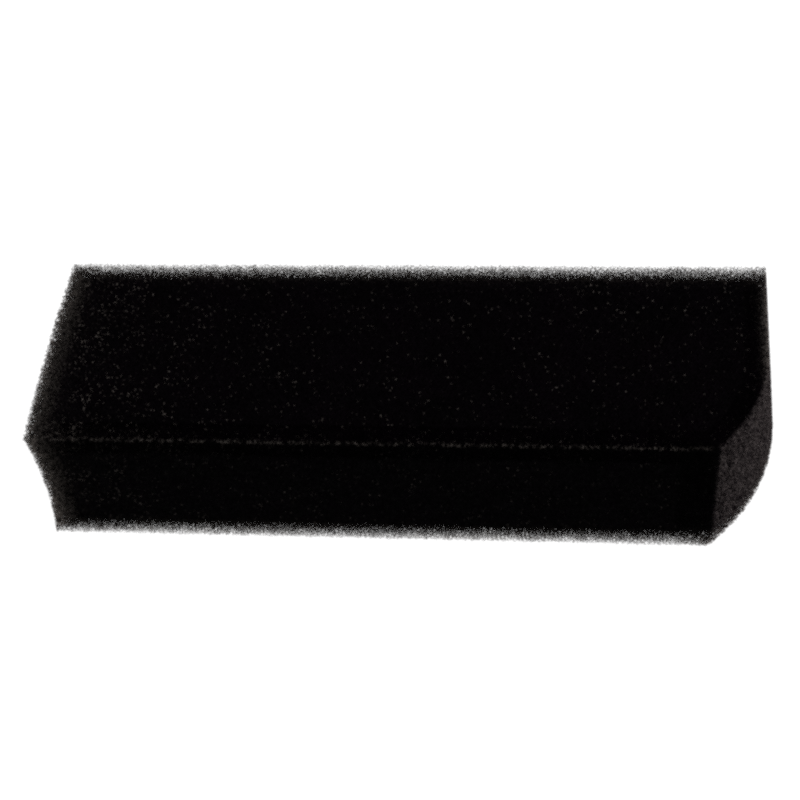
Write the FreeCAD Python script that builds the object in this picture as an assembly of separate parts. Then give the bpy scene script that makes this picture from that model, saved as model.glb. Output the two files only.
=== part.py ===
import FreeCAD, Part
import math
import os

# Block of open-cell filter foam: one piece, cut from a sheet, with a dished
# square end and a rounded end that starts at a sharp vertical crease.
# Millimetres. X runs along the block towards the rounded end, Y towards the
# back, Z up. The origin is the middle of the bottom face's bounding box.

# Overall sizes.
length = 247.0        # bottom face, square end to the tip of the rounded end
width = 81.0          # front face to back face
height = 50.0         # thickness of the sheet the block is cut from

# Rounded end. The cut leans, so the top face is shorter than the bottom one.
end_lean = 4.0        # how far the top's tip stands back from the bottom's
crease_lean = 1.5     # how far the crease runs towards the rounded end, going up
nose_run = 22.0       # along X, bottom crease to bottom tip
nose_reach = 53.0     # along Y, front face to the end of the arc, at the bottom
nose_reach_top = 40.0 # the same at the top

# Square end. Foam squeezed by the blade springs back a little hollow.
end_dish = 2.0        # depth of the hollow at half height
end_bow = 0.8         # how far its edges bow outwards at half width

square_x = -length / 2.0
front_y = -width / 2.0
back_y = width / 2.0
tip_x = length / 2.0
crease_x = tip_x - nose_run


def nose_middle(start_x, end_x, reach):
    """Midpoint of the arc that leaves the front at start_x and meets x = end_x tangentally."""
    run = end_x - start_x
    radius = (run * run + reach * reach) / (2.0 * run)
    half_angle = math.asin(reach / radius) / 2.0
    x = end_x - radius + radius * math.cos(half_angle)
    y = front_y + reach - radius * math.sin(half_angle)
    return x, y


def outline(z):
    """Closed plan outline of the block at height z."""
    up = z / height
    dish = end_dish * 4.0 * up * (1.0 - up)
    left_x = square_x + end_bow + dish
    start_x = crease_x + crease_lean * up
    end_x = tip_x - end_lean * up
    reach = nose_reach + (nose_reach_top - nose_reach) * up
    mid_x, mid_y = nose_middle(start_x, end_x, reach)

    back_left = FreeCAD.Vector(left_x, back_y, z)
    bow_out = FreeCAD.Vector(left_x - end_bow, 0.0, z)
    front_left = FreeCAD.Vector(left_x, front_y, z)
    crease = FreeCAD.Vector(start_x, front_y, z)
    nose = FreeCAD.Vector(mid_x, mid_y, z)
    nose_end = FreeCAD.Vector(end_x, front_y + reach, z)
    back_right = FreeCAD.Vector(end_x, back_y, z)

    edges = [
        Part.Arc(back_left, bow_out, front_left).toShape(),
        Part.LineSegment(front_left, crease).toShape(),
        Part.Arc(crease, nose, nose_end).toShape(),
        Part.LineSegment(nose_end, back_right).toShape(),
        Part.LineSegment(back_right, back_left).toShape(),
    ]
    return Part.Wire(edges)


def foam_block():
    """Solid through the bottom, middle and top outlines."""
    sections = [outline(0.0), outline(height / 2.0), outline(height)]
    return Part.makeLoft(sections, True, False)


os.makedirs("parts", exist_ok=True)
shape = foam_block()
shape.exportStep("parts/foam_block.step")
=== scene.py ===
import math

import bpy
import numpy as np
from mathutils import Matrix, Vector


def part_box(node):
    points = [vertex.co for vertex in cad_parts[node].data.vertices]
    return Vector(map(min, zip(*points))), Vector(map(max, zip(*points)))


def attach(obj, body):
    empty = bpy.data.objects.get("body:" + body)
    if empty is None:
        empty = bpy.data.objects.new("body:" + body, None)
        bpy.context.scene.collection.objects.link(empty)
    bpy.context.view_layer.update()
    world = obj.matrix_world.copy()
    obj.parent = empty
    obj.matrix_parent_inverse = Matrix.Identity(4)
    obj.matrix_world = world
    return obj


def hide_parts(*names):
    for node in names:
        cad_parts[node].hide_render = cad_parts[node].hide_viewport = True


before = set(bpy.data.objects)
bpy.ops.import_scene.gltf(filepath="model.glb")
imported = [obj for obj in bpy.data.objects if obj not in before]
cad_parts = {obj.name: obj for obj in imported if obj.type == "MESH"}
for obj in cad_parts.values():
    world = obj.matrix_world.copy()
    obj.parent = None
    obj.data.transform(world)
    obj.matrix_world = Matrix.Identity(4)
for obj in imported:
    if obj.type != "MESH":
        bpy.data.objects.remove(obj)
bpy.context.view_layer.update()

# The block of filter foam, rebuilt as what it is: open cells. Near its edges, where light passes
# through, it is a real network of struts. Behind them and under its faces it is a dark core.
# Lengths here are in millimetres unless they say otherwise, and MM turns them into the frame's metres.

MM = 0.001
SEED = 74

# ---------------------------------------------------------------- sizes of the strut network
CELL = 1.47           # across one cell, face to face
STRUT = 0.09          # a strut's radius at the surface
FRINGE = 5.4          # how deep the open network goes, measured in from an edge
END_LAYER = 1.7       # and how deep it goes under the rounded end
JITTER = 0.1          # a joint's own random shift, as a share of a cell
WANDER = 0.38         # how far the cells wander from an even stacking
WAVES = 24            # how many waves make up that wander
WAVE_RATES = (0.5, 1.5)   # how fast they turn, in radians a millimetre
CELL_TURN = (0.41, 0.63, 0.22)    # how the cells are turned against the block's faces, in radians
# A cut leaves strut ends standing out by up to this much: left, right, front, back, bottom, top.
NAP = np.array([0.8, 0.1, 0.8, 0.25, 0.0, 0.25])
RAGGED = np.array([0.15, 0.2, 0.5, 0.5, 0.3, 0.5])     # how much shorter than that some are
LEAST_INSIDE = 0.03   # a joint is kept only this far inside the strut ends
SPARE = 3             # how far past the block's corners the stacking of cells reaches
KEY_SPAN = 4096       # more quarter cells than the stacking has along any side
MOST_JOINTS = 13000   # in one piece, which keeps it under 200,000 triangles
JOINT_SHARE = 0.943   # the radius of a regular tetrahedron's face, as a share of the tetrahedron's

# Struts are thicker in these places, each by this share more.
THICK_FROM = 2.5      # how deep under an edge they begin to thicken
DEEP_MORE = 0.6
SQUARE_MORE = 0.6
ROUND_MORE = 0.35
NOSE_MORE = 0.8
# How deep the thickening reaches: under the square end, under the rounded end, and for the low part
# of the rounded end, under the end and above the bottom.
THICK_REACH = (4, 2, 5, 6)

# Where a cut goes through a strut, these keep the strut from ending on its own joint, even if the joint
# lies on the cut or the strut runs along it.
LEAST_DEPTH = 0.01
LEAST_FALL = 0.02
LEAST_SHARE = 0.02    # of the strut's length

# ---------------------------------------------------------------- sizes of the cut faces and the core
PITCH = 1.2           # across one cell where the cut opens it
ROW = 0.866           # from one row of cells to the next, as a share of the pitch
CELL_SHIFT = 0.3      # a cell's random shift, as a share of the pitch
RIM_SHIFT = 0.1       # a rim joint's own random shift, as a share of the pitch
RIM_DROP = 0.22       # how far below the cut the joints of a rim lie, at most
PIT = (0.45, 0.95)    # how deep the cells behind the rims go
WALL = 2.2            # how far a skin's sides reach into the core
HUB = 4               # how much deeper than that the skin closes behind
BAND = FRINGE * math.sqrt(2) - 0.4     # the fringe's width on a face
CORE_GRID = 1.6       # between the core's vertices
CORE_ROUNDS = 8       # how often the core's vertices are pushed inwards
# How far inside each face the core lies: left, right, front, back, bottom, top.
INSET = np.array([1.2, 1.5, 1.2, 1.2, 1.2, 1.2])

# ---------------------------------------------------------------- where light and shade are painted on the foam
LEFT, RIGHT, FRONT, BACK, BOTTOM, TOP = range(6)
LIT_END_DEPTH = 1.25      # how deep under the rounded end the painted light still shows grey
CREASE_GAP = 0.3      # how far behind the front face that painted grey light begins at the bottom
CREASE_SLANT = 0.5    # and how much further behind it at the top
CREASE_FADE = 0.8     # over what width it comes in
CREASE_RAGGED = 0.3   # how uneven its border is, as a share of that width
EDGE_GLINT = 0.48            # how far from an edge its cut struts still get painted highlights
EDGE_GLINT_FROM = 1          # how deep under the rounded end those begin
EDGE_GLINT_FADE = 2          # and over what depth they come in
GLINT_SPREAD = 30.0          # how far from the square end its struts with painted highlights thin out
GLINT_SPREAD_BACK = 9        # and how far from the back face
GLINT_SPREAD_BACK_SHARE = 0.6
LEVEL_FADE = 1.5      # how wide the border is between level faces and upright ones, which get painted shade
BACKLIT = 2.6         # how deep the painted light from behind an edge reaches
BACK_HALF_FADE = 15   # over what width, past the middle, the last edge below loses that light
# The edges with light behind them: the two faces that meet there, how deep the light reaches there as a
# share of BACKLIT, and how steeply it falls.
LIT_EDGES = [
    (LEFT, TOP, 0.9, 1.2), (LEFT, BOTTOM, 0.9, 1.2), (LEFT, FRONT, 0.9, 1.2), (LEFT, BACK, 0.9, 1.2),
    (BACK, TOP, 1.05, 1.5), (BACK, BOTTOM, 0.8, 1.5), (FRONT, BOTTOM, 0.95, 1.5),
    (RIGHT, BOTTOM, 0.85, 1.5), (RIGHT, BACK, 0.8, 1.5), (RIGHT, TOP, 0.45, 1.5),
]

# ---------------------------------------------------------------- the material's noise and tints
# The noise is given in grains a metre.
PATCHES = 70          # broad patches of darker and paler black
CLUMPS = 120          # groups of struts with painted highlights
ROUGH_PATCHES = 300
EDGE_GLINT_DASHES = 520
GRAINS = 800          # single cells
SPARKS = 1000         # single struts with painted highlights
FINE_GRAINS = 1500
BUMPS = 5000
PURPLE = (1.0, 0.25, 0.95)
WARM = (1.0, 0.88, 0.8)
WARM_GREY = (1.0, 0.84, 0.83)
END_LIT_FACING = (0.9, -0.4, 0.0)      # which way the sides of the rounded end's struts look that painted light turns grey
BUMP_HEIGHT = 0.05

# ---------------------------------------------------------------- floor, light and camera
FLOOR_HALF = 3.0      # metres
FLOOR_GREY = 0.25
FLOOR_ROUGHNESS = 0.9
FLOOR_GLOW = 0.88
ROOM_LIGHT = 1.0
LAMP_SIZE = (0.9, 0.6)            # metres
LAMP_PLACE = (0.75, -0.35, 0.75)  # metres
LAMP_POWER = 6        # watts
LENS = 88.02
# How the camera is turned, how far it stands from what it aims at, and what that is.
HEADING, DOWN, ROLL = (math.radians(a) for a in (-11.446, 48.302, -7.843))
DISTANCE = 673.4
AIM = Vector((-4.31, -0.06, 25.0))
NEAREST = 0.01        # metres
PIXEL_FILTER = 2.8    # pixels across, which softens the picture

lo, hi = (np.array(p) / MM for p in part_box("foam_block"))
rng = np.random.default_rng(SEED)

# ---------------------------------------------------------------- the block's shape, from its CAD node
NEAR = 0.02           # how close to a plane a vertex counts as on it
node_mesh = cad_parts["foam_block"].data
corners = np.empty(len(node_mesh.vertices) * 3)
node_mesh.vertices.foreach_get("co", corners)
corners = corners.reshape(-1, 3) / MM


def on(axis, value):
    return np.abs(corners[:, axis] - value) < NEAR


def end_sizes(level):
    """At the bottom or the top: where the crease is, where the tip is, and how far back the arc runs."""
    ring = corners[on(2, level)]
    crease = ring[np.abs(ring[:, 1] - lo[1]) < NEAR][:, 0].max()
    tip = ring[:, 0].max()
    reach = ring[ring[:, 0] > tip - NEAR][:, 1].min() - lo[1]
    return crease, tip, reach


def square_end_sizes():
    """How far the square end is bowed across, and how far it is dished from bottom to top."""
    front_low = corners[on(1, lo[1]) & on(2, lo[2])]
    bow = front_low[:, 0].min() - lo[0]
    front_edge = corners[on(1, lo[1])]
    share = (front_edge[:, 2] - lo[2]) / HEIGHT
    halfway = (share > 0.2) & (share < 0.8)
    front_edge, share = front_edge[halfway], share[halfway]
    return bow, ((front_edge[:, 0] - lo[0] - bow) / (4 * share * (1 - share))).min()


HEIGHT = hi[2] - lo[2]
HALF_WIDTH = (hi[1] - lo[1]) / 2
LOW_END, HIGH_END = (np.array(end_sizes(z)) for z in (lo[2], hi[2]))
BOW, DISH = square_end_sizes()


def up(p):
    """Each point's share of the block's height."""
    return np.clip((p[:, 2] - lo[2]) / HEIGHT, 0, 1)


def left_x(p):
    """The x of the square end beside each point."""
    t = up(p)
    return lo[0] + BOW * (p[:, 1] / HALF_WIDTH) ** 2 + DISH * 4 * t * (1 - t)


def end_at(p):
    """The rounded end beside each point: its x, and the cosine of its normal's heading."""
    t = up(p)[:, None]
    crease, tip, reach = (LOW_END * (1 - t) + HIGH_END * t).T
    run = tip - crease
    radius = (run * run + reach * reach) / (2 * run)
    short = np.clip(reach - (p[:, 1] - lo[1]), 0, reach)
    cosine = np.sqrt(1 - (short / radius) ** 2)
    return tip - radius + radius * cosine, cosine


def depths(p):
    """How deep each point lies under each of the six faces: left, right, front, back, bottom, top."""
    x, cosine = end_at(p)
    return np.stack([
        p[:, 0] - left_x(p), (x - p[:, 0]) * cosine,
        p[:, 1] - lo[1], hi[1] - p[:, 1],
        p[:, 2] - lo[2], hi[2] - p[:, 2],
    ], 1)


def edge_depth(d):
    """Depth under the nearest edge, where two faces meet."""
    two = np.partition(d, 1, axis=1)
    return (two[:, 0] + two[:, 1]) / math.sqrt(2)


def unit(v):
    return v / np.maximum(np.linalg.norm(v, axis=-1, keepdims=True), 1e-9)


def smooth(t):
    t = np.clip(t, 0, 1)
    return t * t * (3 - 2 * t)


def fading(depth, reach):
    """1 at a face, falling off below it."""
    return np.exp(-np.maximum(depth, 0) / reach)


# ---------------------------------------------------------------- the strut network
def turned(ax, ay, az):
    about_x, about_y, about_z = (Matrix.Rotation(a, 3, axis) for a, axis in ((ax, "X"), (ay, "Y"), (az, "Z")))
    return np.array((about_z @ about_y @ about_x))


GRAIN = turned(*CELL_TURN)
QUARTER = CELL / 4


def bends(count):
    """Waves that carry the cells sideways only, so that they lose their order but stay evenly spread."""
    ways = unit(rng.normal(size=(count, 3)))
    waves = ways * rng.uniform(*WAVE_RATES, (count, 1))
    shifts = np.cross(ways, unit(rng.normal(size=(count, 3))))
    shifts = unit(shifts) * WANDER / math.sqrt(count / 2 / 3)
    return waves, shifts, rng.uniform(0, 2 * math.pi, count)


BENDS = bends(WAVES)


def warp(p):
    shift = np.zeros_like(p)
    for wave, way, phase in zip(*BENDS):
        shift += np.sin(p @ wave + phase)[:, None] * way
    return shift


def stacked(c):
    """Where whole quarter cells lie in the even stacking."""
    return c * QUARTER @ GRAIN.T + (lo + hi) / 2


def to_block(c):
    p = stacked(c)
    return p + warp(p)


def key(c):
    """One whole number for each joint."""
    c = c + KEY_SPAN // 2
    return (c[..., 0] * KEY_SPAN + c[..., 1]) * KEY_SPAN + c[..., 2]


def joints():
    """Every joint in or near the fringe, as whole numbers of quarter cells, sorted by key."""
    reach = np.linalg.norm(hi - lo) / 2 + SPARE
    n = int(reach / CELL) + 1
    steps = np.arange(-n, n + 1)
    margin = CELL + 3 * WANDER
    found = []
    for i in steps:
        j, k = np.meshgrid(steps, steps, indexing="ij")
        c = np.stack([np.full(j.size, i), j.ravel(), k.ravel()], 1) * 4
        d = depths(stacked(c + 2.0))
        by_an_edge = edge_depth(np.maximum(d, 0)) < FRINGE + margin
        by_the_end = d[:, RIGHT] < END_LAYER + margin
        found.append(c[(d.min(1) > -margin) & (by_an_edge | by_the_end)])
    cells = np.concatenate(found)
    # A cell's own joints: one coordinate is odd, one is zero, and the third is two.
    axes = np.arange(3)
    bases = np.array([
        [y if a == odd else (0 if a == zero else 2) for a in axes]
        for odd in axes for y in (1, 3) for zero in axes if zero != odd
    ])
    c = (cells[:, None] + bases[None]).reshape(-1, 3)
    keys = key(c)
    order = np.argsort(keys)
    return c[order], keys[order]


def neighbours(c):
    """The four joints that each joint's struts lead to."""
    m = c % 4
    odd = np.argmax(m % 2 == 1, axis=1)
    zero = np.argmax(m == 0, axis=1)
    two = np.argmax(m == 2, axis=1)
    rows = np.arange(len(c))
    step = np.where(m[rows, odd] == 1, -1, 1)     # towards the multiple of four
    out = np.repeat(c[:, None], 4, axis=1)
    for n, (other, sign) in enumerate(((zero, 1), (zero, -1), (two, 1), (two, -1))):
        out[rows, n, odd] += step if n < 2 else -step
        out[rows, n, other] += sign
    return out


def strut_radius(e, d):
    """Thicker struts deep under an edge, so that no light gets as far as the core; thicker ones at the
    square end and the rounded end too, and most of all low on the rounded end."""
    t = np.clip((e - THICK_FROM) / (FRINGE - THICK_FROM), 0, 1)
    square, rounded, nose, low = fading(d[:, [LEFT, RIGHT, RIGHT, BOTTOM]], THICK_REACH).T
    deep = 1 + DEEP_MORE * t * t * (1 - rounded)
    return STRUT * deep * (1 + SQUARE_MORE * square + ROUND_MORE * rounded + NOSE_MORE * nose * low)


def network():
    """The joints' places and depths, which of them are kept, and where each one's four struts lead."""
    c, keys = joints()
    p = to_block(c.astype(float)) + rng.normal(0, JITTER * CELL, c.shape)
    d = depths(p)
    inside = (d + NAP).min(1) > LEAST_INSIDE
    deep = edge_depth(d)
    kept = inside & ((deep < FRINGE) | (d[:, RIGHT] < END_LAYER))
    near = neighbours(c)
    near_keys = key(near)
    at = np.searchsorted(keys, near_keys)
    at = np.minimum(at, len(keys) - 1)
    known = keys[at] == near_keys
    unknown_places = to_block(near.reshape(-1, 3).astype(float)).reshape(near.shape)
    far = np.where(known[..., None], p[at], unknown_places)
    return p, deep, kept, at, known, far


def fringe():
    """The kept joints as small tetrahedra, each with a corner opposite each of its four struts."""
    p, deep, kept, at, known, far = network()
    rows = np.flatnonzero(kept)
    number = np.full(len(p), -1)
    number[rows] = np.arange(len(rows))
    centre = p[rows]
    radius = strut_radius(deep[rows], depths(centre))
    toward = far[rows] - centre[:, None]
    length = np.linalg.norm(toward, axis=2)
    way = toward / length[..., None]
    tips = centre[:, None] - way * (radius / JOINT_SHARE)[:, None, None]
    others = np.array([[1, 2, 3], [0, 2, 3], [0, 1, 3], [0, 1, 2]])
    ring = tips[:, others]                         # joint, strut, corner
    cross = np.cross(ring[:, :, 1] - ring[:, :, 0], ring[:, :, 2] - ring[:, :, 0])
    flip = (cross * way).sum(2) < 0
    order = np.where(flip[..., None], others[None][:, :, [0, 2, 1]], others[None])
    other_end = at[rows]
    linked = known[rows] & kept[other_end]
    return dict(
        centre=centre, tips=tips, order=order, way=way, length=length,
        other=np.where(linked, number[other_end], -1), linked=linked,
    )


net = fringe()


def stretches(p):
    """The joints in even shares along the block, so that no piece is too heavy."""
    order = np.argsort(p[:, 0], kind="stable")
    return np.array_split(order, math.ceil(len(p) / MOST_JOINTS))


def make_mesh(name, points, faces, soft=False):
    """A mesh from points in millimetres and a list of arrays of faces, each with its own corner count."""
    mesh = bpy.data.meshes.new(name)
    mesh.vertices.add(len(points))
    mesh.vertices.foreach_set("co", (points * MM).astype(np.float32).ravel())
    loops = np.concatenate([f.ravel() for f in faces])
    sizes = np.concatenate([np.full(len(f), f.shape[1]) for f in faces])
    mesh.loops.add(len(loops))
    mesh.loops.foreach_set("vertex_index", loops.astype(np.int32))
    mesh.polygons.add(len(sizes))
    mesh.polygons.foreach_set("loop_start", (np.cumsum(sizes) - sizes).astype(np.int32))
    mesh.polygons.foreach_set("use_smooth", np.full(len(sizes), soft))
    mesh.update(calc_edges=True)
    ob = bpy.data.objects.new(name, mesh)
    bpy.context.scene.collection.objects.link(ob)
    return ob


def add_values(ob, name, values):
    """One number for each vertex, which the material can read."""
    layer = ob.data.attributes.new(name, "FLOAT", "POINT")
    layer.data.foreach_set("value", values.astype(np.float32))


def sides(ring_a, ring_b):
    """The three sides of each strut, between the rings at its ends."""
    return [
        np.stack([ring_a[:, m], ring_a[:, n], ring_b[:, n], ring_b[:, m]], 1)
        for m, n in ((0, 1), (1, 2), (2, 0))
    ]


def matched(points, ring_a, ring_b, centre_a, centre_b):
    """The second ring, turned so that each of its corners lies beside the first ring's."""
    axis = unit(centre_b - centre_a)[:, None]
    spokes_a, spokes_b = (
        unit(points[ring] - centre[:, None]) for ring, centre in ((ring_a, centre_a), (ring_b, centre_b)))
    spokes_a, spokes_b = (
        unit(spokes - (spokes * axis).sum(2, keepdims=True) * axis) for spokes in (spokes_a, spokes_b))
    score = np.stack([(spokes_a * np.roll(spokes_b, -n, axis=1)).sum((1, 2)) for n in range(3)], 1)
    take = (np.arange(3)[None] + score.argmax(1)[:, None]) % 3
    return np.take_along_axis(ring_b, take, axis=1)


def cut_ends(start, along, reach):
    """Where struts end: at their full length, or at the cut face if that comes first."""
    finish = start + along * reach
    stand_out = NAP - RAGGED * np.repeat(rng.uniform(0, 1, (len(start), 1)), 3, axis=0)
    near_depth = np.min(depths(start.reshape(-1, 3)) + stand_out, axis=1).reshape(-1, 3)
    far_depth = np.min(depths(finish.reshape(-1, 3)) + stand_out, axis=1).reshape(-1, 3)
    fall = np.clip(near_depth - far_depth, LEAST_FALL, None)
    t = np.where(far_depth < 0, np.clip(near_depth, LEAST_DEPTH, None) / fall, 1.0)
    t = np.clip(t, LEAST_SHARE, 1.0)
    return start + along * reach * t[..., None]


def struts_of(chosen):
    """Closed mesh of the chosen joints and the struts that leave them."""
    index = np.full(len(net["centre"]), -1)
    index[chosen] = np.arange(len(chosen))
    points = net["tips"][chosen].reshape(-1, 3)
    base = 4 * np.arange(len(chosen))[:, None, None]
    near_ring = base + net["order"][chosen]                      # joint, strut, corner
    centre = net["centre"][chosen]
    other = net["other"][chosen]
    both = net["linked"][chosen] & (index[np.maximum(other, 0)] >= 0)
    # Struts between two joints of this piece, each made once.
    a, s = np.nonzero(both)
    b = index[other[a, s]]
    once = a < b
    a, s, b = a[once], s[once], b[once]
    back = np.argmax(other[b] == chosen[a][:, None], axis=1)
    ring_a = near_ring[a, s]
    ring_b = matched(points, ring_a, near_ring[b, back][:, ::-1], centre[a], centre[b])
    quads = sides(ring_a, ring_b)
    # Struts that end at a cut face, in the core, or in the next piece. Of the two pieces that share a
    # strut, one makes it and the other closes its joint with a cap.
    a, s = np.nonzero(~both)
    g = chosen[a]
    mine = ~net["linked"][g, s] | (g < net["other"][g, s])
    shut = near_ring[a[~mine], s[~mine]]
    a, s, g = a[mine], s[mine], g[mine]
    ring_a = near_ring[a, s]
    ends = cut_ends(points[ring_a], net["way"][g, s][:, None], net["length"][g, s][:, None, None])
    ring_e = len(points) + np.arange(3 * len(a)).reshape(-1, 3)
    quads += sides(ring_a, ring_e)
    points = np.concatenate([points, ends.reshape(-1, 3)])
    return points, [np.concatenate(quads), np.concatenate([shut, ring_e])]


# ---------------------------------------------------------------- the cut faces
def flat(axis, level, inward):
    """Places points at u, v and a depth under a flat face."""
    across = [a for a in range(3) if a != axis]

    def place(u, v, depth):
        p = np.empty((len(u), 3))
        p[:, across[0]], p[:, across[1]] = u, v
        p[:, axis] = level + inward * depth
        return p
    return place


def square_place(u, v, depth):
    """The same for the square end, which is bowed and dished."""
    p = np.stack([np.zeros_like(u), u, v], 1)
    p[:, 0] = left_x(p) + depth
    return p


# Each face's name, its span in u and v, how points are placed on it, and which of the depths is its own.
# The turn says whether u, then v, runs anticlockwise seen from outside.
CUT_FACES = [
    ("top", (lo[0], hi[0], lo[1], hi[1]), flat(2, hi[2], -1), TOP, 1),
    ("bottom", (lo[0], hi[0], lo[1], hi[1]), flat(2, lo[2], 1), BOTTOM, -1),
    ("front", (lo[0], hi[0], lo[2], hi[2]), flat(1, lo[1], 1), FRONT, 1),
    ("back", (lo[0], hi[0], lo[2], hi[2]), flat(1, hi[1], -1), BACK, -1),
    ("square_end", (lo[1], hi[1], lo[2], hi[2]), square_place, LEFT, -1),
]


def honeycomb(span):
    """Uneven six-sided cells over a face: the joints of their rims, each cell's ring of them, its middle."""
    n_j = int((span[3] - span[2]) / (PITCH * ROW)) + 3
    n_i = int((span[1] - span[0]) / PITCH) + n_j + 3
    i, j = np.meshgrid(np.arange(n_i), np.arange(n_j), indexing="ij")
    shift_i = i - n_j // 2
    c = np.stack([span[0] + PITCH * (shift_i + j / 2), span[2] + PITCH * ROW * (j - 0.5)], 2)
    c = c + rng.uniform(-CELL_SHIFT, CELL_SHIFT, c.shape) * PITCH
    up_node = (c[:-1, :-1] + c[1:, :-1] + c[:-1, 1:]) / 3
    down_node = (c[1:, :-1] + c[1:, 1:] + c[:-1, 1:]) / 3
    rows, cols = up_node.shape[:2]
    ids = np.arange(rows * cols).reshape(rows, cols)
    up_id, down_id = 2 * ids, 2 * ids + 1
    nodes = np.empty((2 * rows * cols, 2))
    nodes[0::2], nodes[1::2] = up_node.reshape(-1, 2), down_node.reshape(-1, 2)
    nodes += rng.uniform(-RIM_SHIFT, RIM_SHIFT, nodes.shape) * PITCH
    a, b = np.meshgrid(np.arange(1, rows), np.arange(1, cols), indexing="ij")
    a, b = a.ravel(), b.ravel()
    ring = np.stack([up_id[a, b], down_id[a - 1, b], up_id[a - 1, b],
                     down_id[a - 1, b - 1], up_id[a, b - 1], down_id[a, b - 1]], 1)
    return nodes, ring, c[a, b]


def skin(name, span, place, own, turn):
    """A cut face as rims round open pits, closed behind."""
    nodes, ring, middle = honeycomb(span)
    surface = place(middle[:, 0], middle[:, 1], np.zeros(len(middle)))
    kept = np.delete(depths(surface), own, axis=1).min(1) > BAND
    ring, middle = ring[kept], middle[kept]
    used, ring = np.unique(ring, return_inverse=True)
    ring = ring.reshape(-1, 6)
    nodes = nodes[used]
    rim = place(nodes[:, 0], nodes[:, 1], rng.uniform(0, RIM_DROP, len(nodes)))
    pit = place(middle[:, 0], middle[:, 1], rng.uniform(*PIT, len(middle)))
    if turn < 0:
        ring = ring[:, ::-1]
    first, last = ring.ravel(), np.roll(ring, -1, axis=1).ravel()
    centre = len(rim) + np.repeat(np.arange(len(middle)), 6)
    slopes = np.stack([first, last, centre], 1)
    # The skin's sides and back, from the edges that only one cell has.
    pairs = np.minimum(first, last) * len(rim) + np.maximum(first, last)
    _, where, count = np.unique(pairs, return_index=True, return_counts=True)
    edge = where[count == 1]
    ea, eb = first[edge], last[edge]
    outer = np.unique(ea)
    foot = np.full(len(rim), -1)
    foot[outer] = len(rim) + len(middle) + np.arange(len(outer))
    feet = place(nodes[outer, 0], nodes[outer, 1], np.full(len(outer), WALL))
    hub = len(rim) + len(middle) + len(outer)
    centre_uv = middle.mean(0)
    hub_point = place(centre_uv[:1], centre_uv[1:], np.array([WALL + HUB]))
    walls = np.stack([ea, foot[ea], foot[eb], eb], 1)
    back = np.stack([foot[eb], foot[ea], np.full(len(ea), hub)], 1)
    points = np.concatenate([rim, pit, feet, hub_point])
    ob = make_mesh("foam_" + name, points, [walls, np.concatenate([slopes, back])])
    add_values(ob, "rim", np.concatenate([np.ones(len(rim)), np.zeros(len(points) - len(rim))]))
    return ob, points


# ---------------------------------------------------------------- what the material is told
def backlit(d):
    """How near each point is to an edge with light behind it."""
    first, second, reach, fall = (np.array(column) for column in zip(*LIT_EDGES))
    d = np.maximum(d, 0).T
    near = d[first] + d[second]
    share = np.exp(-(near / math.sqrt(2) / (BACKLIT * reach)[:, None]) ** fall[:, None])
    # The last edge, over the rounded end, has light behind it only towards the back.
    share[-1] *= smooth((HALF_WIDTH + BACK_HALF_FADE - d[BACK]) / BACK_HALF_FADE)
    return share.max(0)


def tell(ob, points):
    """What the material needs to know of each vertex for its painted light and shade: whether it is at the
    rounded end, how near it is to a cut edge, to the parts with more painted highlights and to an edge with
    light behind it, and if its face is a level one."""
    d = depths(points)
    two = np.sort(np.maximum(np.delete(d, RIGHT, axis=1), 0), axis=1)[:, :2]
    ragged = rng.uniform(-CREASE_RAGGED, CREASE_RAGGED, len(d))
    past_crease = (d[:, FRONT] - CREASE_GAP - CREASE_SLANT * up(points)) / CREASE_FADE + ragged
    add_values(ob, "lit_round_end", smooth(1 - d[:, RIGHT] / LIT_END_DEPTH) * smooth(past_crease))
    by_an_edge = np.exp(-(two ** 2).sum(1) / EDGE_GLINT ** 2)
    add_values(ob, "edge_glint", by_an_edge * smooth((d[:, RIGHT] - EDGE_GLINT_FROM) / EDGE_GLINT_FADE))
    # More painted highlights towards the square end and the back, where the light falls.
    glint_spread_back = GLINT_SPREAD_BACK_SHARE * fading(d[:, BACK], GLINT_SPREAD_BACK)
    add_values(ob, "glint_spread", np.maximum(fading(d[:, LEFT], GLINT_SPREAD), glint_spread_back))
    add_values(ob, "backlit", backlit(d))
    add_values(ob, "level", smooth((d[:, :4].min(1) - d[:, 4:].min(1)) / LEVEL_FADE + 0.5))


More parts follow.
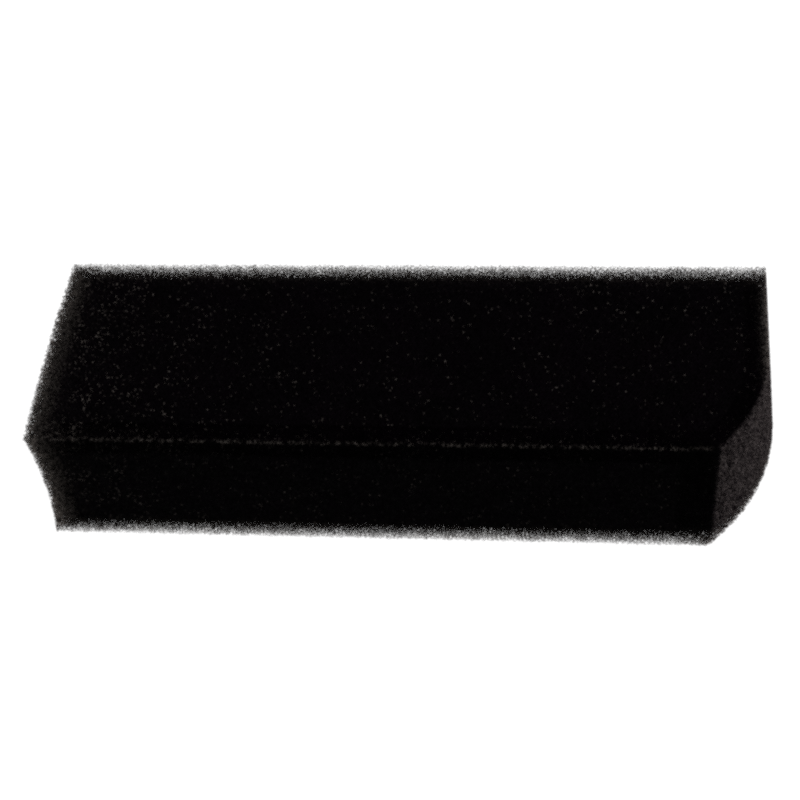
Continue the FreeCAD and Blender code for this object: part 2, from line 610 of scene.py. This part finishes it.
# ---------------------------------------------------------------- material
def foam_material(name, dark, lit_end_tone, glint_tone, backlight_tone, shaded_pits):
    """Black foam with painted highlights where a few struts catch the light, more at the edges and the square
    end; painted light makes the rounded end grey, painted shade darkens the upright faces and the pits, and
    a painted haze lies where there is light behind an edge."""
    mat = bpy.data.materials.new(name)
    mat.use_nodes = True
    nt = mat.node_tree
    new, link = nt.nodes.new, nt.links.new
    bsdf = nt.nodes["Principled BSDF"]
    bsdf.inputs["Specular IOR Level"].default_value = 0.01
    where = new("ShaderNodeTexCoord")

    def put(socket, value):
        if isinstance(value, bpy.types.NodeSocket):
            link(value, socket)
        else:
            socket.default_value = value

    def noise(scale, detail=1.0):
        texture = new("ShaderNodeTexNoise")
        texture.inputs["Scale"].default_value = scale
        texture.inputs["Detail"].default_value = detail
        link(where.outputs["Object"], texture.inputs["Vector"])
        return texture.outputs["Fac"]

    def ramp(value, a, b, to=(0.0, 1.0)):
        """The value stretched so that a and b become the two ends of `to`, and held between them."""
        stretch = new("ShaderNodeMapRange")
        put(stretch.inputs["Value"], value)
        put(stretch.inputs["From Min"], a)
        put(stretch.inputs["From Max"], b)
        stretch.inputs["To Min"].default_value, stretch.inputs["To Max"].default_value = to
        return stretch.outputs["Result"]

    def calc(kind, a, b):
        maths = new("ShaderNodeMath")
        maths.operation = kind
        put(maths.inputs[0], a)
        put(maths.inputs[1], b)
        return maths.outputs[0]

    def times(*values):
        product = values[0]
        for value in values[1:]:
            product = calc("MULTIPLY", product, value)
        return product

    def told(attribute):
        reader = new("ShaderNodeAttribute")
        reader.attribute_name = attribute
        return reader.outputs["Fac"]

    def mix(fac, a, b):
        mixer = new("ShaderNodeMix")
        mixer.data_type = "RGBA"
        put(mixer.inputs["Factor"], fac)
        put(mixer.inputs["A"], a)
        put(mixer.inputs["B"], b)
        return mixer.outputs["Result"]

    def tone(brightness, tint=PURPLE):
        return tuple(brightness * t for t in tint) + (1.0,)

    def patches(low, high):
        return mix(ramp(noise(PATCHES, 2.0), 0.35, 0.65), tone(dark * low), tone(dark * high))

    # Black cells, with painted shade making them blacker still on the upright faces.
    black_cells = mix(told("level"), patches(0.2, 0.5), patches(0.6, 1.4))
    # Painted light on the rounded end: grey where a strut's side looks out of it, with black pores between.
    geometry = new("ShaderNodeNewGeometry")
    facing = new("ShaderNodeVectorMath")
    facing.operation = "DOT_PRODUCT"
    link(geometry.outputs["True Normal"], facing.inputs[0])
    facing.inputs[1].default_value = END_LIT_FACING
    lit_side = ramp(facing.outputs["Value"], -0.1, 0.5)
    lit_end_share = times(told("lit_round_end"), ramp(lit_side, 0.0, 1.0, (0.5, 1.0)))
    grains = times(
        ramp(noise(GRAINS), 0.40, 0.52, (0.1, 1.0)),
        ramp(noise(FINE_GRAINS), 0.40, 0.52, (0.4, 1.0)))
    lit_end_cells = mix(grains, tone(lit_end_tone * 0.05), tone(lit_end_tone * 2.0, WARM_GREY))
    base = mix(lit_end_share, black_cells, lit_end_cells)
    # Painted backlight: a pale haze where there is light behind an edge.
    painted_backlight = times(told("backlit"), ramp(noise(GRAINS), 0.40, 0.58, (0.12, 1.25)))
    base = mix(painted_backlight, base, tone(backlight_tone, WARM))
    # Painted highlights: few struts catch the light in the middle, more at the square end and the back, and
    # most along the edges; fewer on the upright faces.
    least = ramp(told("glint_spread"), 0.0, 1.0, (0.69, 0.565))
    painted_glint = times(
        ramp(calc("SUBTRACT", noise(SPARKS), least), 0.0, 0.04),
        ramp(noise(CLUMPS, 2.0), 0.42, 0.6, (0.15, 1.0)),
        ramp(told("level"), 0.0, 1.0, (0.35, 1.0)))
    # Painted highlights in dashes on the cut struts along the edges.
    edge_glint = times(told("edge_glint"), ramp(noise(EDGE_GLINT_DASHES), 0.45, 0.6))
    painted_glint = calc("MAXIMUM", painted_glint, edge_glint)
    # Painted shade darkens the pits between the rims, and painted highlights keep to the rims.
    if shaded_pits:
        base = mix(ramp(told("rim"), 0.70, 0.84), tone(dark * 0.15), base)
        painted_glint = times(painted_glint, ramp(told("rim"), 0.80, 0.90))
    base = mix(painted_glint, base, tone(glint_tone, WARM))
    link(base, bsdf.inputs["Base Color"])
    link(ramp(noise(ROUGH_PATCHES, 2.0), 0.0, 1.0, (0.45, 0.9)), bsdf.inputs["Roughness"])
    bump = new("ShaderNodeBump")
    bump.inputs["Strength"].default_value = 0.3
    bump.inputs["Distance"].default_value = BUMP_HEIGHT * MM
    link(noise(BUMPS), bump.inputs["Height"])
    link(bump.outputs["Normal"], bsdf.inputs["Normal"])
    return mat


strut_mat = foam_material("foam_struts", dark=0.0008, lit_end_tone=0.04, glint_tone=0.075, backlight_tone=0.125, shaded_pits=False)
skin_mat = foam_material("foam_cut_cells", dark=0.0009, lit_end_tone=0.026, glint_tone=0.105, backlight_tone=0.055, shaded_pits=True)
core_mat = foam_material("foam_core_cells", dark=0.0006, lit_end_tone=0.004, glint_tone=0.0006, backlight_tone=0.03, shaded_pits=False)


# ---------------------------------------------------------------- the core
def core_mesh():
    """The block's own shape on an even grid, drawn in behind the fringe and the skins."""
    whole = bpy.data.objects.new("core_source", node_mesh.copy())
    bpy.context.scene.collection.objects.link(whole)
    grid = whole.modifiers.new("even", "REMESH")
    grid.mode = "VOXEL"
    grid.voxel_size = CORE_GRID * MM
    depsgraph = bpy.context.evaluated_depsgraph_get()
    even = bpy.data.meshes.new_from_object(whole.evaluated_get(depsgraph))
    bpy.data.objects.remove(whole)
    points = np.empty(len(even.vertices) * 3)
    even.vertices.foreach_get("co", points)
    points = points.reshape(-1, 3) / MM
    inward = np.array([[1, 0, 0], [-1, 0, 0], [0, 1, 0], [0, -1, 0], [0, 0, 1], [0, 0, -1]], float)
    rows = np.arange(len(points))
    for _ in range(CORE_ROUNDS):
        d = depths(points)
        nearest = np.argsort(d, axis=1)
        first, second = nearest[:, 0], nearest[:, 1]
        push = np.clip(INSET[first] - d[rows, first], 0, None)
        points += inward[first] * push[:, None]
        d = depths(points)
        lack = np.clip(BAND - (d[rows, first] + d[rows, second]), 0, None) / 2
        points += (inward[first] + inward[second]) * lack[:, None]
    even.vertices.foreach_set("co", (points * MM).astype(np.float32).ravel())
    even.update()
    even.materials.clear()
    return even, points


# ---------------------------------------------------------------- the pieces
def finish_piece(ob, points, mat):
    tell(ob, points)
    ob.data.materials.append(mat)
    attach(ob, "root")
    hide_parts("foam_block")


for n, chosen in enumerate(stretches(net["centre"])):
    points, faces = struts_of(chosen)
    ob = make_mesh(f"foam_fringe_{n + 1:02d}", points, faces, soft=True)
    finish_piece(ob, points, strut_mat)
for name, span, place, own, turn in CUT_FACES:
    ob, points = skin(name, span, place, own, turn)
    finish_piece(ob, points, skin_mat)
mesh, points = core_mesh()
core = bpy.data.objects.new("foam_core", mesh)
bpy.context.scene.collection.objects.link(core)
finish_piece(core, points, core_mat)

# ---------------------------------------------------------------- floor, light and camera
floor_mesh = bpy.data.meshes.new("floor")
floor_corners = [(x * FLOOR_HALF, y * FLOOR_HALF, 0) for x, y in ((-1, -1), (1, -1), (1, 1), (-1, 1))]
floor_mesh.from_pydata(floor_corners, [], [(0, 1, 2, 3)])
floor = bpy.data.objects.new("floor", floor_mesh)
bpy.context.scene.collection.objects.link(floor)
floor_mat = bpy.data.materials.new("floor")
floor_mat.use_nodes = True
floor_bsdf = floor_mat.node_tree.nodes["Principled BSDF"]
floor_bsdf.inputs["Base Color"].default_value = (FLOOR_GREY, FLOOR_GREY, FLOOR_GREY, 1)
floor_bsdf.inputs["Roughness"].default_value = FLOOR_ROUGHNESS
floor_bsdf.inputs["Emission Color"].default_value = (1, 1, 1, 1)
floor_bsdf.inputs["Emission Strength"].default_value = FLOOR_GLOW
floor_mesh.materials.append(floor_mat)

world = bpy.data.worlds.new("studio")
bpy.context.scene.world = world
world.use_nodes = True
background = world.node_tree.nodes["Background"]
background.inputs["Color"].default_value = (1, 1, 1, 1)
background.inputs["Strength"].default_value = ROOM_LIGHT

cam_data = bpy.data.cameras.new("camera")
cam = bpy.data.objects.new("camera", cam_data)
bpy.context.scene.collection.objects.link(cam)
cam_data.lens = LENS
cam_data.clip_start = NEAREST
forward = Vector((math.sin(HEADING) * math.cos(DOWN), math.cos(HEADING) * math.cos(DOWN), -math.sin(DOWN)))
level = forward.cross(Vector((0, 0, 1))).normalized()
upward = level.cross(forward)
right = level * math.cos(ROLL) + upward * math.sin(ROLL)
top = right.cross(forward)
cam.matrix_world = Matrix((
    (right.x, top.x, -forward.x, 0), (right.y, top.y, -forward.y, 0),
    (right.z, top.z, -forward.z, 0), (0, 0, 0, 1)))
cam.location = (AIM - forward * DISTANCE) * MM
bpy.context.scene.camera = cam

lamp_data = bpy.data.lights.new("key", "AREA")
lamp_data.shape = "RECTANGLE"
lamp_data.size, lamp_data.size_y = LAMP_SIZE
lamp_data.energy = LAMP_POWER
lamp = bpy.data.objects.new("key", lamp_data)
lamp.location = LAMP_PLACE
lamp.rotation_euler = (Vector((0, 0, 0)) - lamp.location).to_track_quat("-Z", "Y").to_euler()
bpy.context.scene.collection.objects.link(lamp)
bpy.context.scene.view_settings.view_transform = "Standard"
bpy.context.scene.cycles.use_denoising = False
bpy.context.scene.cycles.filter_width = PIXEL_FILTER
